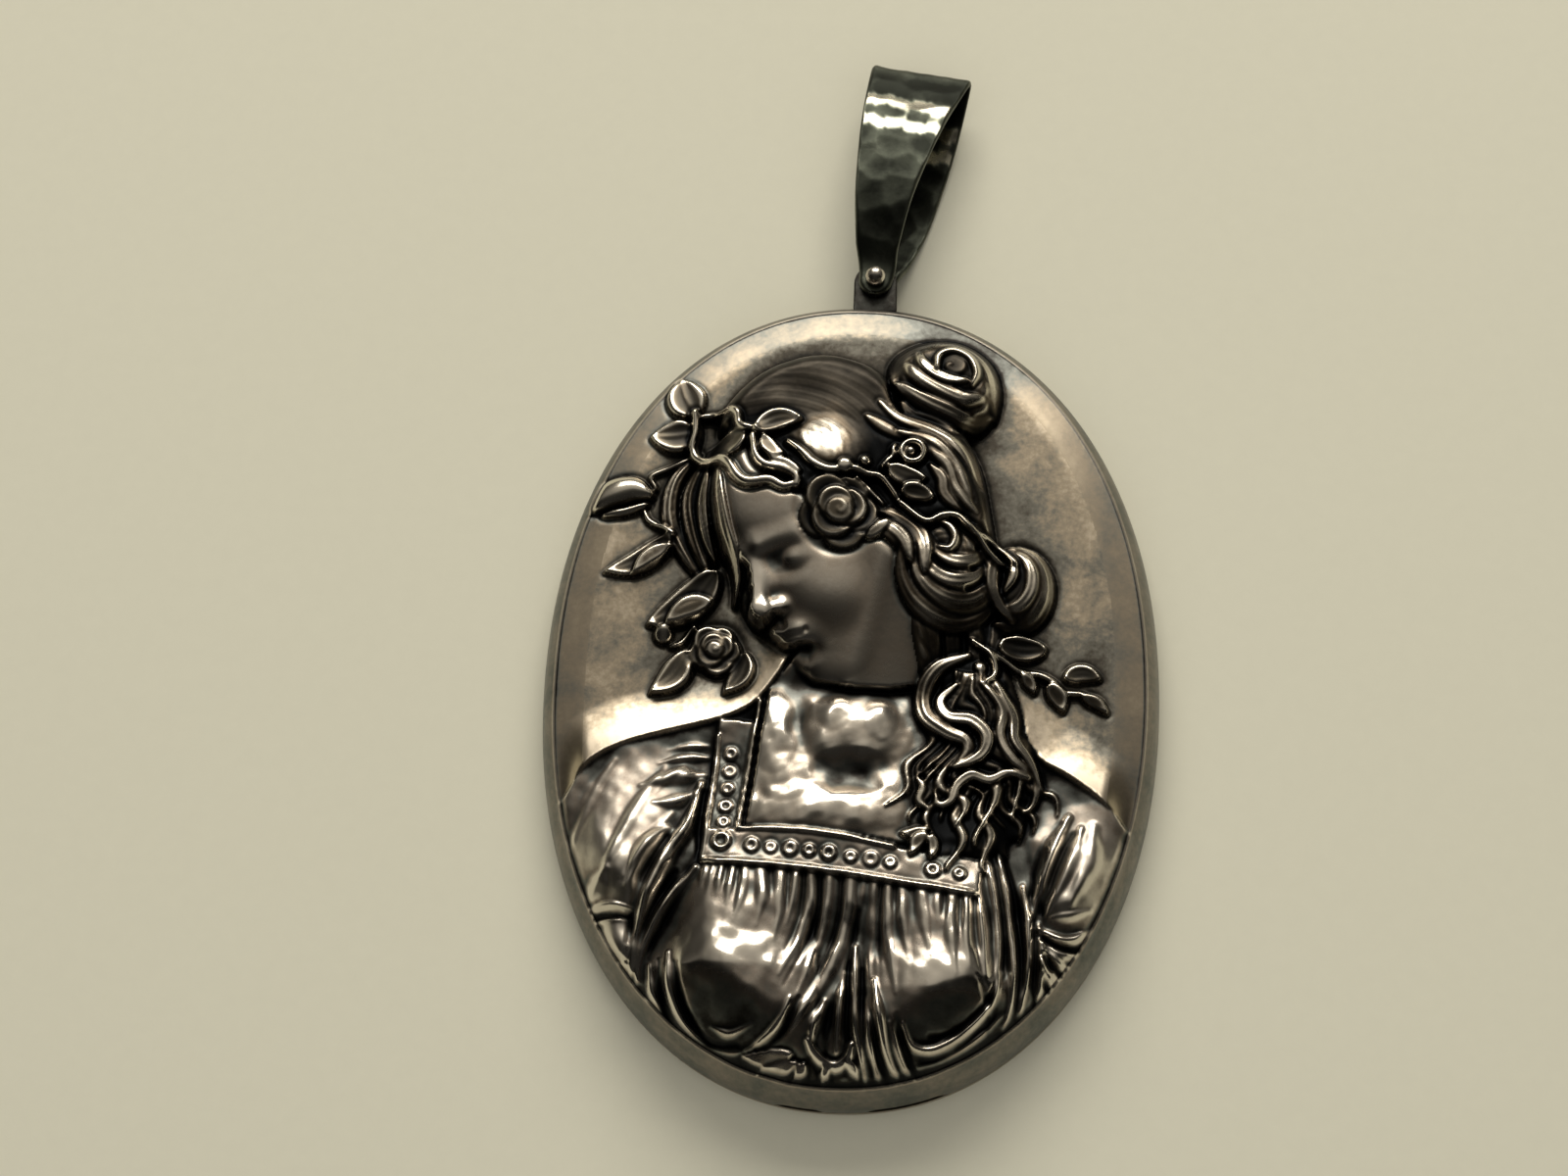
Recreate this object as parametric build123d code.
from build123d import *
import math
import os

import numpy as np

# Medallion pendant: a hollow oval case of darkened silver, struck in high relief,
# hung by a ball-headed rivet from a folded, hammered bail.
# Millimetres. +Z is the struck front, +Y points to the bail. The case lies on its back:
# the origin is the middle of its back face.

# Case
CASE_LENGTH = 50.0          # long axis of the oval
CASE_WIDTH = 36.8           # short axis of the oval
SQUARENESS = 2.12           # exponent of the oval, 2 is a true ellipse
SHEET = 0.5                 # thickness of the struck sheet
SEAM_HEIGHT = 0.9           # the seam between front and back runs round the side here
SEAM_GAP = 0.04
SIDE_HEIGHT = 3.4           # height of the front edge over the back face
SIDE_LEAN = 0.75            # the side leans in by this much up to the front edge
EDGE_ROUNDING = 0.3         # width of the rounded front edge
BEVEL_WIDTH = 1.7           # sloped border round the field
BEVEL_RISE = 0.4
FIELD_CROWN = 0.2           # the field bulges by this much to its middle
RELIEF_RISE = 3.9           # highest point of the relief over the field

# Back plate
BACK_SHEET = 0.6
BACK_EDGE = 0.35            # rounding of the back edge
REGISTER_HEIGHT = 0.4       # its inner step stands this far over the seam
REGISTER_WIDTH = 0.6
REGISTER_CLEARANCE = 0.08   # between the step and the inside of the front

# Open stretches of the seam, at the foot of the oval; middles from the long axis
SLOT_HEIGHT = 0.7
LONG_SLOT_LENGTH = 3.8
LONG_SLOT_MIDDLE = 3.8
SHORT_SLOT_LENGTH = 2.1
SHORT_SLOT_MIDDLE = -1.95

# Eye on the top of the case, rivet and bail
EYE_OFFSET = 0.8            # to the right of the long axis
EYE_THICKNESS = 0.9
EYE_OUTER = 2.7
EYE_BITE = 0.25             # the eye's foot is soldered this deep into the side
RIVET_SETBACK = 1.3         # from the top of the oval to the rivet's axis
RIVET_SHANK = 0.7
RIVET_HEAD = 1.25
SHANK_CLEARANCE = 0.03      # on the radius, in the feet of the bail
EYE_CLEARANCE = 0.08        # on the radius, in the eye
FACE_CLEARANCE = 0.06       # between the eye and each foot of the bail
HEAD_CLEARANCE = 0.03       # between each foot and the ball head on it
BAIL_LENGTH = 15.6          # from the rivet's axis to the top of the loop
BAIL_STRIP = 0.6
BAIL_TOP_WIDTH = 6.6
BAIL_FOOT_WIDTH = 2.1
BAIL_DEPTH = 4.9            # over both legs of the loop, at its deepest
BAIL_FLOOR_GAP = 0.05       # under the loop as it lies
BAIL_SKEW = 0.25            # the back leg stands this share of the depth to the right
BAIL_LEAN = 9.5             # degrees, clockwise, as it lies

HALF_W = CASE_WIDTH / 2
HALF_L = CASE_LENGTH / 2
RIVET_Y = HALF_L + RIVET_SETBACK
EYE_HEIGHT = BAIL_DEPTH / 2 + BAIL_FLOOR_GAP
STEP_TOP = SEAM_HEIGHT + REGISTER_HEIGHT

# Places in the tables below are in hundredths: x and widths of half the case's width,
# y of half its length, heights of the relief's rise.
DOME_COLUMNS = ("name", "x", "y", "half_x", "half_y", "turn", "height", "roundness")
DOMES = (
    ("torso", 0, -78, 92, 46, 0, 42, 0.35),
    ("left shoulder", -56, -50, 37, 34, 28, 58, 0.5),
    ("right shoulder", 66, -50, 29, 30, -34, 55, 0.5),
    ("chest", -2, -24, 36, 26, 0, 58, 0.5),
    ("neck", 8, 2, 17, 26, 8, 62, 0.5),
    ("left bust", -30, -73, 27, 19, 0, 88, 0.6),
    ("right bust", 31, -75, 26, 19, 0, 86, 0.6),
    ("left sleeve fold", -72, -42, 17, 16, 20, 50, 0.5),
    ("crown of the head", -10, 53, 43, 28, 14, 86, 0.5),
    ("brow and face", -24, 24, 24, 25, -16, 84, 0.5),
    ("cheek", -16, 14, 18, 17, -10, 98, 0.6),
    ("nose", -38, 16, 7, 7, -20, 92, 0.6),
    ("chin", -22, 1, 9, 6, -20, 88, 0.6),
    ("back hair", 30, 40, 17, 26, 10, 74, 0.5),
    ("bun", 30, 73, 17, 12, 12, 84, 0.45),
    ("side hair", -52, 36, 9, 20, 12, 58, 0.5),
    ("near roll", 33, 24, 14, 13, 0, 80, 0.5),
    ("far roll", 54, 24, 10, 9, 0, 62, 0.5),
)

# A ridge follows a smooth run through its points, x and y by turns.
RIDGE_COLUMNS = ("name", "half_width", "height", "over_ground", "points")
RIDGES = (
    ("neckline, side", 4.6, 12, True, (-32, -8, -37, -26, -38, -44)),
    ("neckline, foot", 5.0, 12, True, (-42, -43, -10, -44, 18, -46, 40, -49)),
    ("shoulder seam", 5.0, 10, True, (-88, -36, -70, -20, -46, -12, -34, -7)),
    ("right shoulder edge", 5.0, 10, True, (50, -12, 68, -22, 84, -34, 90, -42)),
    ("lock one", 4.5, 22, True, (34, 2, 25, -5, 29, -13, 38, -18, 36, -22)),
    ("lock two", 4.5, 26, True, (36, -6, 32, -11, 43, -13, 44, -19, 38, -22)),
    ("lock three", 4.5, 24, True, (40, 8, 47, -6, 50, -16, 58, -22, 62, -32)),
    ("lock four", 4.5, 22, True, (56, -22, 45, -25, 38, -31, 31, -30, 27, -28)),
    ("lock five", 4.0, 22, True, (60, -26, 52, -29, 52, -35, 58, -38)),
    ("curl tip", 4.0, 24, True, (28, -37, 20, -39, 20, -44, 25, -46)),
    ("combed hair, front", 5.0, 10, True, (-50, 62, -34, 74, -12, 79, 6, 76)),
    ("hair over the brow", 5.0, 10, True, (-30, 64, -6, 58, 18, 64, 28, 66)),
    ("hair behind the ear", 5.0, 10, True, (6, 52, 26, 55, 40, 50, 42, 38)),
    ("bun coil, outer", 4.5, 12, True, (15, 72, 18, 82, 32, 85, 44, 78, 44, 67, 32, 63)),
    ("bun coil, inner", 4.0, 12, True, (25, 77, 31, 81, 37, 77)),
    ("stem, left", 3.2, 16, True, (-54, 64, -42, 64, -34, 58, -22, 56, -8, 48)),
    ("stem, loop", 3.2, 16, True, (-54, 54, -44, 50, -36, 42, -22, 42)),
    ("stem, right", 3.2, 16, True, (4, 46, 16, 40, 26, 35, 34, 37, 44, 31, 54, 27)),
    ("spray stem", 3.4, 26, False, (46, 6, 58, 1, 68, -2, 80, -5)),
    ("rose, outer petals", 4.0, 14, True, (-14, 38, -8, 44, 2, 42, 2, 34, -8, 32, -14, 37)),
)

LEAF_COLUMNS = ("name", "x", "y", "half_length", "half_width", "turn", "height")
LEAVES = (
    ("upper leaf", -54, 71, 7.5, 6.5, 80, 42),
    ("side leaf", -60, 61, 8, 6, 200, 42),
    ("bud", -80, 43, 9, 6, 5, 46),
    ("low leaf", -68, 30, 12, 6, 20, 30),
    ("temple leaf", -34, 58, 9, 6, -10, 96),
    ("leaf over the ear", 17, 52, 8, 6, -35, 98),
    ("leaf behind the rose", 20, 42, 7, 5, -20, 94),
    ("rose", -6, 37, 9, 9, 0, 104),
    ("cluster leaf, top", -54, 20, 11, 7, 60, 52),
    ("cluster flower", -60, 9, 7, 6, 10, 44),
    ("cluster leaf, foot", -58, 0, 9, 6, 50, 40),
    ("cluster leaf, right", -40, 2, 8, 5, 30, 46),
    ("throat leaf", -46, 6, 7, 6, 0, 44),
    ("spray leaf", 54, 8, 7.5, 5, -15, 44),
    ("spray bud, one", 57, -2, 4.5, 4, -60, 36),
    ("spray bud, two", 67, -5, 5.5, 4, -60, 36),
    ("spray bud, three", 76, 1, 6, 4.5, -20, 36),
    ("foot leaf, left", -22, -93, 9, 5, 10, 52),
    ("foot leaf, right", 4, -95, 9, 5, -10, 50),
)

# Folds of the dress, each a straight ridge from its head to its foot
FOLD_COLUMNS = ("head_x", "head_y", "foot_x", "foot_y", "half_width", "height")
FOLDS = (
    (-18, -50, -22, -70, 2.8, 12),
    (-8, -51, -16, -72, 2.8, 14),
    (0, -52, -8, -90, 2.8, 16),
    (6, -52, 4, -92, 2.8, 16),
    (12, -52, 12, -94, 2.8, 14),
    (18, -53, 22, -93, 2.8, 10),
    (44, -42, 50, -80, 3.0, 16),
    (52, -42, 57, -78, 3.0, 14),
    (64, -38, 60, -74, 3.2, 14),
    (82, -54, 62, -60, 3.0, 12),
    (76, -68, 60, -62, 3.0, 12),
    (-42, -36, -62, -66, 3.2, 14),
    (-42, -48, -66, -78, 3.2, 14),
    (-80, -57, -62, -60, 3.2, 12),
)

GRID_ACROSS = 50            # cells of the struck surface across the case
GRID_ALONG = 66             # and along it; both even, the inside has half as many
SEWN_AT_ONCE = 600
WALL_REACH = 0.9            # the inside keeps clear of the relief this many cells around

# Outer side of the bail's loop: how far along, in shares of its length, and how far
# from its middle plane, in shares of half its depth
LOOP_COLUMNS = ("along", "aside")
LOOP = (
    (0.16, 0.70),
    (0.34, 1.00),
    (0.55, 0.88),
    (0.78, 0.55),
    (0.95, 0.28),
)


def rows(columns, table):
    """The table's rows, each as a set of named values."""
    return [dict(zip(columns, row)) for row in table]


def outline_share(x, y):
    """How far out a point lies: 0 at the middle, 1 on the outline."""
    return (np.abs(x / HALF_W) ** SQUARENESS + np.abs(y / HALF_L) ** SQUARENESS) ** (1 / SQUARENESS)


def smooth_step(value):
    """0 up to 0, 1 from 1 on, and a smooth rise between."""
    t = np.clip(value, 0, 1)
    return t * t * (3 - 2 * t)


def inward_distance(x, y):
    """Distance from the outline along the ray to the middle."""
    share = np.maximum(outline_share(x, y), 1e-6)
    return np.hypot(x, y) * (1 / share - 1) + (share < 1e-3) * HALF_W


def smooth_run(places, steps=8):
    """A smooth run through places in millimetres, with so many steps between each two."""
    p = np.asarray(places, float)
    ends = np.vstack([2 * p[0] - p[1], p, 2 * p[-1] - p[-2]])
    t = np.linspace(0, 1, steps, endpoint=False)[:, None]
    run = []
    for a, b, c, d in zip(ends[:-3], ends[1:-2], ends[2:-1], ends[3:]):
        run.append(0.5 * (2 * b + (c - a) * t + (2 * a - 5 * b + 4 * c - d) * t**2
                          + (3 * b - a - 3 * c + d) * t**3))
    return np.vstack(run + [p[-1:]])


def in_case(places):
    """Places in millimetres from pairs in hundredths of the case's half width and length."""
    return np.array(places, float).reshape(-1, 2) * (HALF_W / 100, HALF_L / 100)


def distance_to_run(x, y, run):
    """Distance of each point from a run of short straight pieces."""
    best = np.full(x.shape, 1e9)
    for start, end in zip(run[:-1], run[1:]):
        step = end - start
        share = ((x - start[0]) * step[0] + (y - start[1]) * step[1]) / max(step @ step, 1e-9)
        share = np.clip(share, 0, 1)
        best = np.minimum(best, np.hypot(x - start[0] - share * step[0],
                                         y - start[1] - share * step[1]))
    return best


def local_axes(x, y, row):
    """Places in the row's own axes, in millimetres."""
    turn = math.radians(row["turn"])
    dx = x - row["x"] * HALF_W / 100
    dy = y - row["y"] * HALF_L / 100
    return dx * math.cos(turn) + dy * math.sin(turn), dy * math.cos(turn) - dx * math.sin(turn)


def relief_height(x, y):
    """Height of the struck surface over the back face."""
    rise = RELIEF_RISE / 100
    inward = inward_distance(x, y)
    ground = (SIDE_HEIGHT + BEVEL_RISE * smooth_step(inward / BEVEL_WIDTH)
              + FIELD_CROWN * (1 - outline_share(x, y) ** 2))
    relief = np.zeros_like(x)
    for row in rows(DOME_COLUMNS, DOMES):
        u, v = local_axes(x, y, row)
        spread = (u / (row["half_x"] * HALF_W / 100)) ** 2 + (v / (row["half_y"] * HALF_L / 100)) ** 2
        dome = row["height"] * rise * np.clip(1 - spread, 0, 1) ** row["roundness"]
        relief = np.maximum(relief, dome)
    for row in rows(RIDGE_COLUMNS, RIDGES):
        gap = distance_to_run(x, y, smooth_run(in_case(row["points"]))) / (row["half_width"] * HALF_W / 100)
        ridge = row["height"] * rise * np.sqrt(np.clip(1 - gap**2, 0, 1))
        relief = relief + ridge if row["over_ground"] else np.maximum(relief, ridge)
    for row in rows(FOLD_COLUMNS, FOLDS):
        ends = in_case((row["head_x"], row["head_y"], row["foot_x"], row["foot_y"]))
        gap = distance_to_run(x, y, ends) / (row["half_width"] * HALF_W / 100)
        relief = relief + row["height"] * rise * np.clip(1 - gap**2, 0, 1)
    for row in rows(LEAF_COLUMNS, LEAVES):
        u, v = local_axes(x, y, row)
        along = u / (row["half_length"] * HALF_W / 100)
        across = v / (row["half_width"] * HALF_W / 100)
        leaf = row["height"] * rise * np.clip(1 - along**2 - across**2, 0, 1) ** 0.35
        relief = np.maximum(relief, leaf)
    fade = np.sqrt(np.clip(inward / BEVEL_WIDTH, 0, 1))
    return ground + relief * fade


def oval_grid(across, along, inset):
    """Places of a grid that fills the oval, with its edge on the outline less the inset."""
    u, v = np.meshgrid(np.linspace(-1, 1, across + 1), np.linspace(-1, 1, along + 1), indexing="ij")
    x = u * np.sqrt(1 - v * v / 2)
    y = v * np.sqrt(1 - u * u / 2)
    radius = np.hypot(x, y)
    stretch = radius / np.maximum((np.abs(x) ** SQUARENESS + np.abs(y) ** SQUARENESS)
                                  ** (1 / SQUARENESS), 1e-9)
    stretch = 1 + (stretch - 1) * radius**2
    return x * stretch * (HALF_W - inset), y * stretch * (HALF_L - inset)


def rim_loop(grid):
    """The grid's border values, once round."""
    return np.concatenate([grid[:-1, 0], grid[-1, :-1], grid[:0:-1, -1], grid[0, :0:-1]])


class FacetSolid:
    """Collects corners and triangles of one closed body."""

    def __init__(self):
        self.corners = []
        self.triangles = []

    def add(self, points):
        start = len(self.corners)
        self.corners.extend(map(tuple, points))
        return np.arange(start, start + len(points))

    def triangle(self, a, b, c):
        self.triangles.append((a, b, c))

    def sheet(self, index, flip):
        """Two triangles for each cell, with the diagonals laid towards the outline."""
        for i in range(index.shape[0] - 1):
            for j in range(index.shape[1] - 1):
                a, b = index[i, j], index[i + 1, j]
                c, d = index[i + 1, j + 1], index[i, j + 1]
                even = (2 * i < index.shape[0] - 1) == (2 * j < index.shape[1] - 1)
                pair = ((a, b, d), (b, c, d)) if even else ((a, b, c), (a, c, d))
                for one in pair:
                    self.triangle(*(one[::-1] if flip else one))

    def band(self, lower, upper):
        """A closed strip between two loops of as many corners."""
        count = len(lower)
        for k in range(count):
            n = (k + 1) % count
            self.triangle(lower[k], lower[n], upper[n])
            self.triangle(lower[k], upper[n], upper[k])

    def half_band(self, fine, coarse):
        """A closed strip from a loop to one with half as many corners."""
        count = len(coarse)
        for k in range(count):
            n = (k + 1) % count
            a, b, c = fine[2 * k], fine[2 * k + 1], fine[(2 * k + 2) % (2 * count)]
            self.triangle(b, a, coarse[k])
            self.triangle(coarse[n], b, coarse[k])
            self.triangle(c, b, coarse[n])

    def solid(self):
        """The closed body. Its faces are sewn in small groups first, then all together."""
        faces = [Face(Wire.make_polygon([self.corners[k] for k in one], close=True))
                 for one in self.triangles]
        sewn = []
        for start in range(0, len(faces), SEWN_AT_ONCE):
            for group in Face.sew_faces(faces[start:start + SEWN_AT_ONCE]):
                sewn.extend(group)
        return Solid(Shell(sewn))


def slot_height(x, y):
    """How far the front's lower edge is lifted over the seam at each place."""
    lift = np.zeros_like(x)
    for middle, length in ((LONG_SLOT_MIDDLE, LONG_SLOT_LENGTH), (SHORT_SLOT_MIDDLE, SHORT_SLOT_LENGTH)):
        inside = length / 2 - np.abs(x - middle)
        lift = np.maximum(lift, SLOT_HEIGHT * smooth_step(inside / SLOT_HEIGHT + 0.5))
    return np.where(y < 0, lift, 0.0)


def side_loops():
    """Inset and height of the front's side, from the front edge down to the seam."""
    rise = SIDE_HEIGHT - SEAM_HEIGHT
    return ((SIDE_LEAN, SEAM_HEIGHT + 0.94 * rise), (0.35 * SIDE_LEAN, SEAM_HEIGHT + 0.6 * rise))


def outline_loop(across, along, inset, height):
    """Corners of the oval's outline at an inset and a height."""
    x, y = (rim_loop(grid) for grid in oval_grid(across, along, inset))
    return np.stack([x, y, np.full_like(x, height)], -1)


def seam_loop(across, along, inset):
    """The front's lower edge, which the open stretches of the seam lift."""
    loop = outline_loop(across, along, inset, SEAM_HEIGHT + SEAM_GAP)
    loop[:, 2] += slot_height(loop[:, 0], loop[:, 1])
    return loop


def struck_front():
    """Relief, sloped border and leaning side of one struck sheet, hollow behind."""
    body = FacetSolid()
    edge = SIDE_LEAN + EDGE_ROUNDING
    x, y = oval_grid(GRID_ACROSS, GRID_ALONG, edge)
    top = body.add(np.stack([x, y, relief_height(x, y)], -1).reshape(-1, 3)).reshape(x.shape)
    body.sheet(top, False)
    upper = rim_loop(top)
    for inset, height in side_loops():
        lower = body.add(outline_loop(GRID_ACROSS, GRID_ALONG, inset, height))
        body.band(lower, upper)
        upper = lower
    lower = body.add(seam_loop(GRID_ACROSS, GRID_ALONG, 0.0))
    body.band(lower, upper)
    # The inside follows the relief with half as many cells, a sheet's thickness under
    # the lowest place around each corner.
    half_across, half_along = GRID_ACROSS // 2, GRID_ALONG // 2
    inner_x, inner_y = oval_grid(half_across, half_along, edge + SHEET)
    reach = WALL_REACH * CASE_WIDTH / half_across
    lowest = np.full(inner_x.shape, np.inf)
    for dx in np.linspace(-reach, reach, 7):
        for dy in np.linspace(-reach, reach, 7):
            px, py = inner_x + dx, inner_y + dy
            share = np.maximum(outline_share(px, py), 1.0)
            lowest = np.minimum(lowest, relief_height(px / share, py / share))
    inner = np.stack([inner_x, inner_y, lowest - SHEET], -1)
    under = body.add(inner.reshape(-1, 3)).reshape(inner_x.shape)
    body.sheet(under, True)
    above_step = body.add(outline_loop(half_across, half_along, SHEET, STEP_TOP + REGISTER_CLEARANCE))
    body.band(rim_loop(under), above_step)
    foot = body.add(seam_loop(half_across, half_along, SHEET))
    body.band(above_step, foot)
    body.half_band(lower, foot)
    return body.solid()


def eye():
    """Flat ring on two short legs, which the bail's rivet passes through."""
    reach = RIVET_SETBACK + SIDE_LEAN + EYE_BITE - (SIDE_LEAN - side_inset(EYE_HEIGHT))
    ring = Cylinder(EYE_OUTER / 2, EYE_THICKNESS)
    legs = Pos(0, -reach / 2, 0) * Box(EYE_OUTER, reach, EYE_THICKNESS)
    bore = Cylinder(RIVET_SHANK / 2 + EYE_CLEARANCE, 2 * EYE_THICKNESS)
    return Pos(EYE_OFFSET, RIVET_Y, EYE_HEIGHT) * (ring + legs - bore)


def side_inset(height):
    """Inset of the front's side at a height, between its loops."""
    insets, heights = zip(*side_loops(), (0.0, SEAM_HEIGHT))
    return float(np.interp(height, heights[::-1], insets[::-1]))


def oval_face(inset, height):
    """Flat face inside the oval's outline at an inset and a height."""
    turns = np.linspace(0, 2 * math.pi, 48, endpoint=False)
    bend = 2 / SQUARENESS
    x = (HALF_W - inset) * np.sign(np.cos(turns)) * np.abs(np.cos(turns)) ** bend
    y = (HALF_L - inset) * np.sign(np.sin(turns)) * np.abs(np.sin(turns)) ** bend
    edge = Spline([(float(px), float(py), height) for px, py in zip(x, y)], periodic=True)
    return make_face(edge)


def back_plate():
    """Flat plate with a rounded lower edge and a step that centres the front on it."""
    step_outer = SHEET + REGISTER_CLEARANCE
    plate = extrude(oval_face(0, 0), SEAM_HEIGHT)
    plate = fillet(plate.edges().sort_by(Axis.Z)[0], BACK_EDGE)
    plate += extrude(oval_face(step_outer, SEAM_HEIGHT), REGISTER_HEIGHT)
    pocket = extrude(oval_face(step_outer + REGISTER_WIDTH, BACK_SHEET), CASE_WIDTH)
    return plate - pocket


def bail():
    """Strip folded into a loop, with a foot each side of the eye and its back leg askew."""
    foot = BAIL_FOOT_WIDTH / 2
    foot_aside = EYE_THICKNESS / 2 + FACE_CLEARANCE + BAIL_STRIP / 2
    leg = [(-foot, foot_aside), (-foot / 2, foot_aside), (foot, foot_aside)]
    leg += [(row["along"] * BAIL_LENGTH, row["aside"] * BAIL_DEPTH / 2 - BAIL_STRIP / 2)
            for row in rows(LOOP_COLUMNS, LOOP)]
    back = [(along, -aside) for along, aside in reversed(leg)]
    run = smooth_run(leg + [(BAIL_LENGTH - BAIL_STRIP / 2, 0)] + back, 4)
    along, aside = run[:, 0], run[:, 1]
    heading = np.gradient(run, axis=0)
    heading /= np.linalg.norm(heading, axis=1)[:, None]
    half = foot + (BAIL_TOP_WIDTH / 2 - foot) * along / BAIL_LENGTH
    half = np.where(along < 0, np.sqrt(np.maximum(foot**2 - along**2, (0.2 * foot) ** 2)), half)
    shift = -BAIL_SKEW * aside * smooth_step(along / BAIL_FOOT_WIDTH)
    strip = FacetSolid()
    corners = []
    for side, skin in ((-1, 0.5), (1, 0.5), (1, -0.5), (-1, -0.5)):
        out = skin * BAIL_STRIP
        places = np.stack([shift + side * half, along - out * heading[:, 1], aside + out * heading[:, 0]], -1)
        corners.append(strip.add(places))
    rings = np.array(corners).T
    for ring, following in zip(rings[:-1], rings[1:]):
        strip.band(ring, following)
    for a, b, c, d in (rings[0][::-1], rings[-1]):
        strip.triangle(a, b, c)
        strip.triangle(a, c, d)
    bores = Cylinder(RIVET_SHANK / 2 + SHANK_CLEARANCE, 2 * BAIL_DEPTH)
    return place_bail(strip.solid() - bores)


def rivet():
    """Shank with a ball head at each end."""
    seat = EYE_THICKNESS / 2 + FACE_CLEARANCE + BAIL_STRIP + HEAD_CLEARANCE
    radius = RIVET_HEAD / 2
    shank = Cylinder(RIVET_SHANK / 2, 2 * seat + radius)
    pin = shank
    for side in (-1, 1):
        ball = Pos(0, 0, side * (seat + 0.4 * radius)) * Sphere(radius)
        pin += split(ball, Plane.XY.offset(side * seat), keep=Keep.TOP if side > 0 else Keep.BOTTOM)
    return place_bail(pin)


def place_bail(shape):
    """From the bail's own axes, along +Y from the rivet, to where it lies."""
    return Pos(EYE_OFFSET, RIVET_Y, EYE_HEIGHT) * Rot(0, 0, -BAIL_LEAN) * shape


def write_parts():
    """One file for each piece."""
    os.makedirs("parts", exist_ok=True)
    pieces = {
        "struck_front": struck_front() + eye(),
        "back_plate": back_plate(),
        "bail": bail(),
        "rivet": rivet(),
    }
    for name, shape in pieces.items():
        export_step(shape, f"parts/{name}.step")


write_parts()
